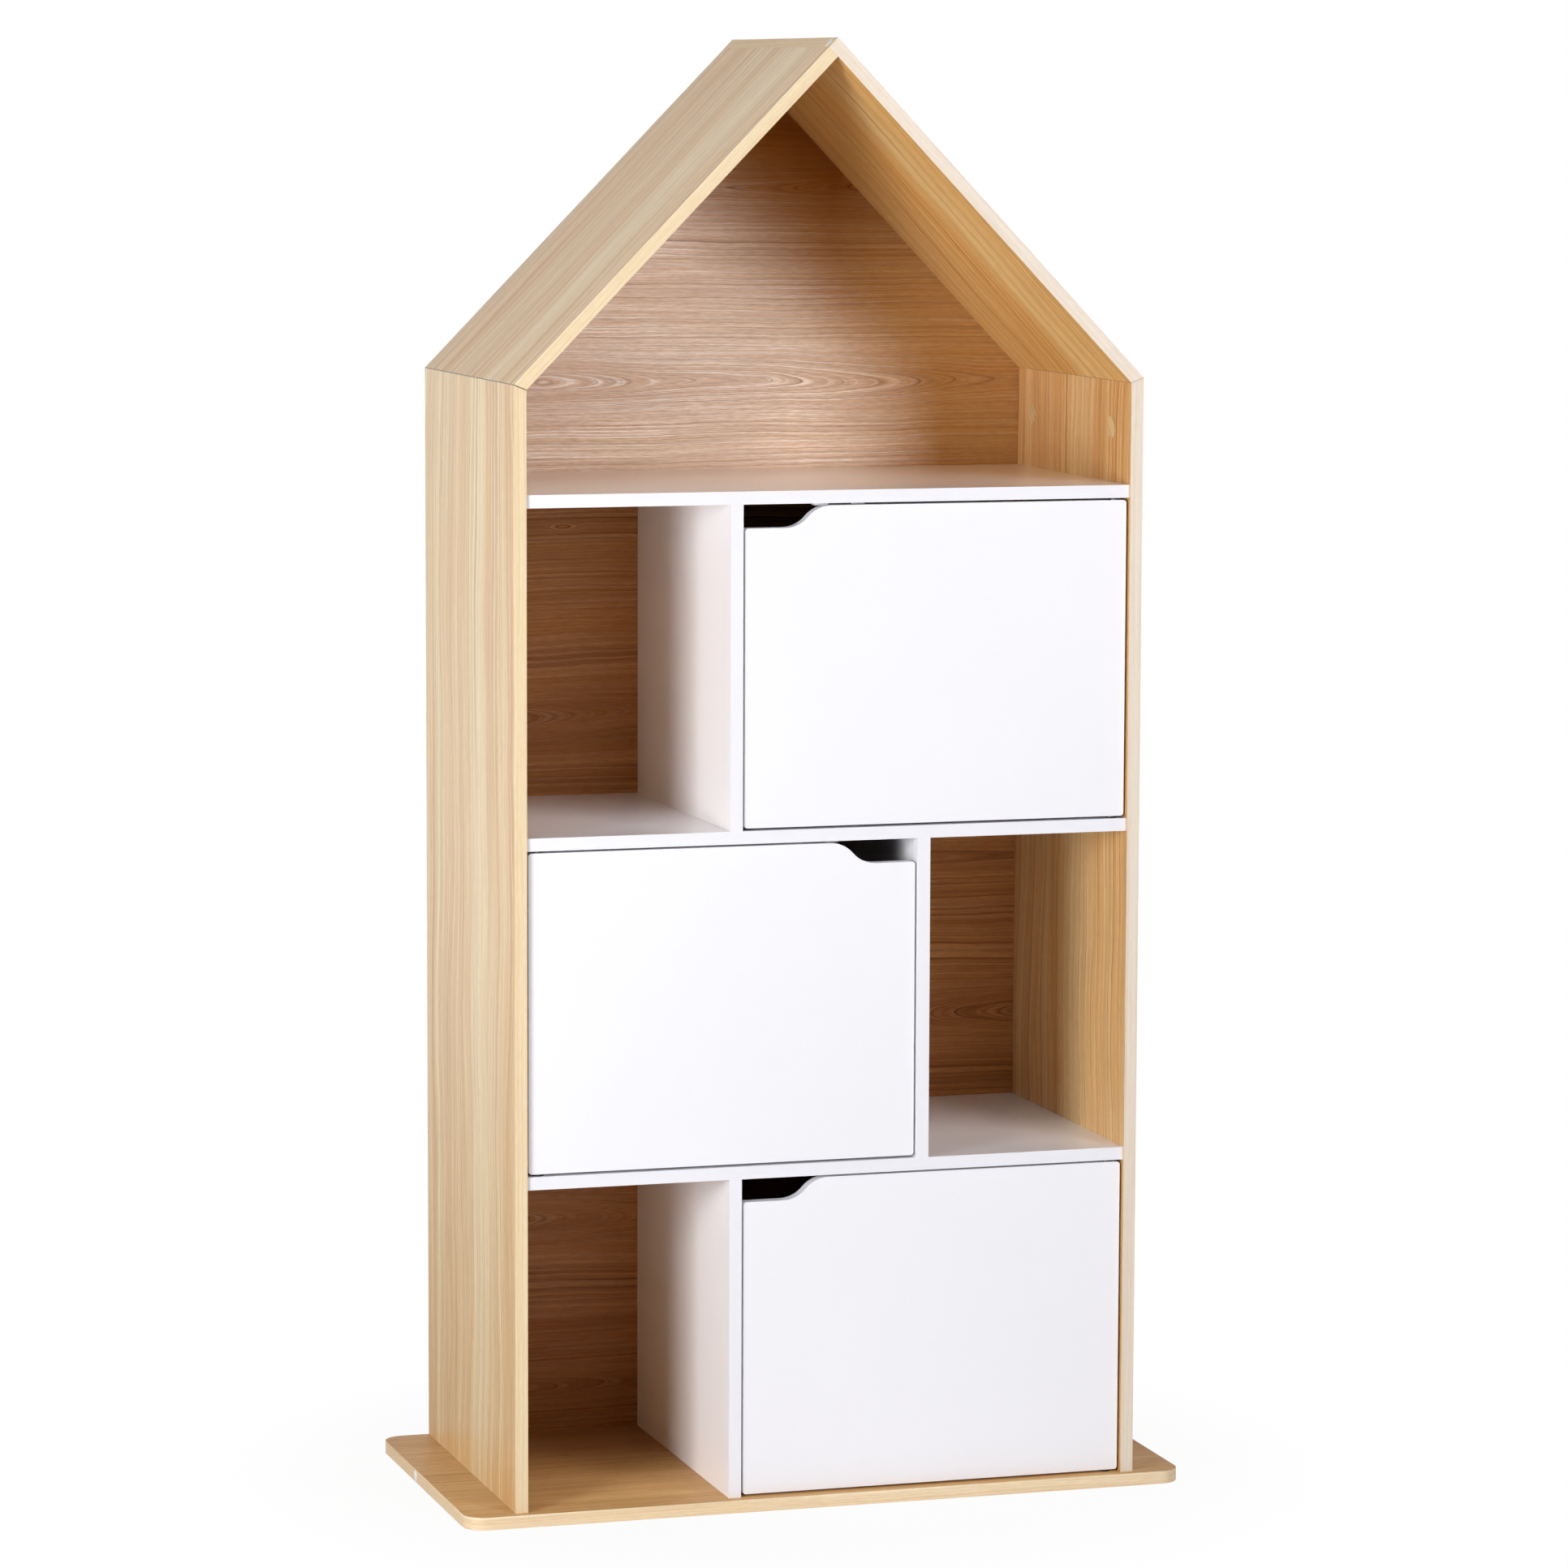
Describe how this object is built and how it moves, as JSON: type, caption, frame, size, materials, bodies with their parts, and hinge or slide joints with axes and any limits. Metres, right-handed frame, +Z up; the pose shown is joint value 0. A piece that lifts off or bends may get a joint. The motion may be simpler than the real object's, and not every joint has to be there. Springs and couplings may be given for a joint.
{
  "type": "house shaped bookcase",
  "caption": "House shaped children's bookcase with a pitched roof, open cubbies and inset pivot doors with finger notches, on a wide base board.",
  "frame": {"origin": "middle of the underside of the base board", "axes": "+Z up, +X to the viewer's right when facing the doors, +Y to the back, so the doors face -Y"},
  "size_m": [0.7003, 0.347, 1.3634],
  "materials": {
    "grain_board": "pale maple grain melamine foil with a lighter edge band, satin",
    "grain_back": "pale maple grain melamine foil, satin",
    "white_board": "white melamine faced board, satin",
    "white_door": "white melamine faced board, fine satin texture",
    "bush_plastic": "black moulded plastic",
    "pin_steel": "zinc plated steel",
    "catch_plastic": "white moulded plastic",
    "magnet": "dark ferrite block between steel poles",
    "zinc_steel": "zinc plated steel",
    "cam_zinc": "die cast zinc",
    "grain_cap": "printed wood grain sticker",
    "white_cap": "white sticker",
    "beech": "plain beech",
    "yellow_zinc": "yellow zinc plated steel",
    "label_paper": "plain white paper sticker"
  },
  "bodies": {
    "carcass": {"base_board": "grain_board", "left_side_panel": "grain_board", "right_side_panel": "grain_board", "left_roof_panel": "grain_board", "right_roof_panel": "grain_board", "lower_back_panel": "grain_back", "gable_back_panel": "grain_back", "top_shelf": "white_board", "middle_shelf": "white_board", "lower_shelf": "white_board", "top_divider": "white_board", "middle_divider": "white_board", "lower_divider": "white_board", "pivot_bushes": "bush_plastic", "catch_housings": "catch_plastic", "catch_magnets": "magnet", "catch_screws": "zinc_steel", "cam_bolts": "zinc_steel", "eaves_bolts": "zinc_steel", "cam_locks": "cam_zinc", "grain_cover_caps": "grain_cap", "white_cover_caps": "white_cap", "dowels": "beech", "base_screws": "yellow_zinc", "back_screws": "yellow_zinc", "label_dots": "label_paper"},
    "door_top": {"top_door": "white_door", "top_door_pins": "pin_steel", "top_door_strike": "zinc_steel", "top_door_strike_screw": "zinc_steel"},
    "door_middle": {"middle_door": "white_door", "middle_door_pins": "pin_steel", "middle_door_strike": "zinc_steel", "middle_door_strike_screw": "zinc_steel"},
    "door_lower": {"lower_door": "white_door", "lower_door_pins": "pin_steel", "lower_door_strike": "zinc_steel", "lower_door_strike_screw": "zinc_steel"}
  },
  "joints": [
    {"name": "top_door_pivot", "type": "hinge", "parent": "carcass", "child": "door_top", "pos_m": [0.2778, -0.155, 0.7885], "axis": [0, 0, 1], "range_deg": [0, 110]},
    {"name": "middle_door_pivot", "type": "hinge", "parent": "carcass", "child": "door_middle", "pos_m": [-0.2778, -0.155, 0.4755], "axis": [0, 0, -1], "range_deg": [0, 110]},
    {"name": "lower_door_pivot", "type": "hinge", "parent": "carcass", "child": "door_lower", "pos_m": [0.2778, -0.155, 0.1625], "axis": [0, 0, 1], "range_deg": [0, 110]}
  ]
}
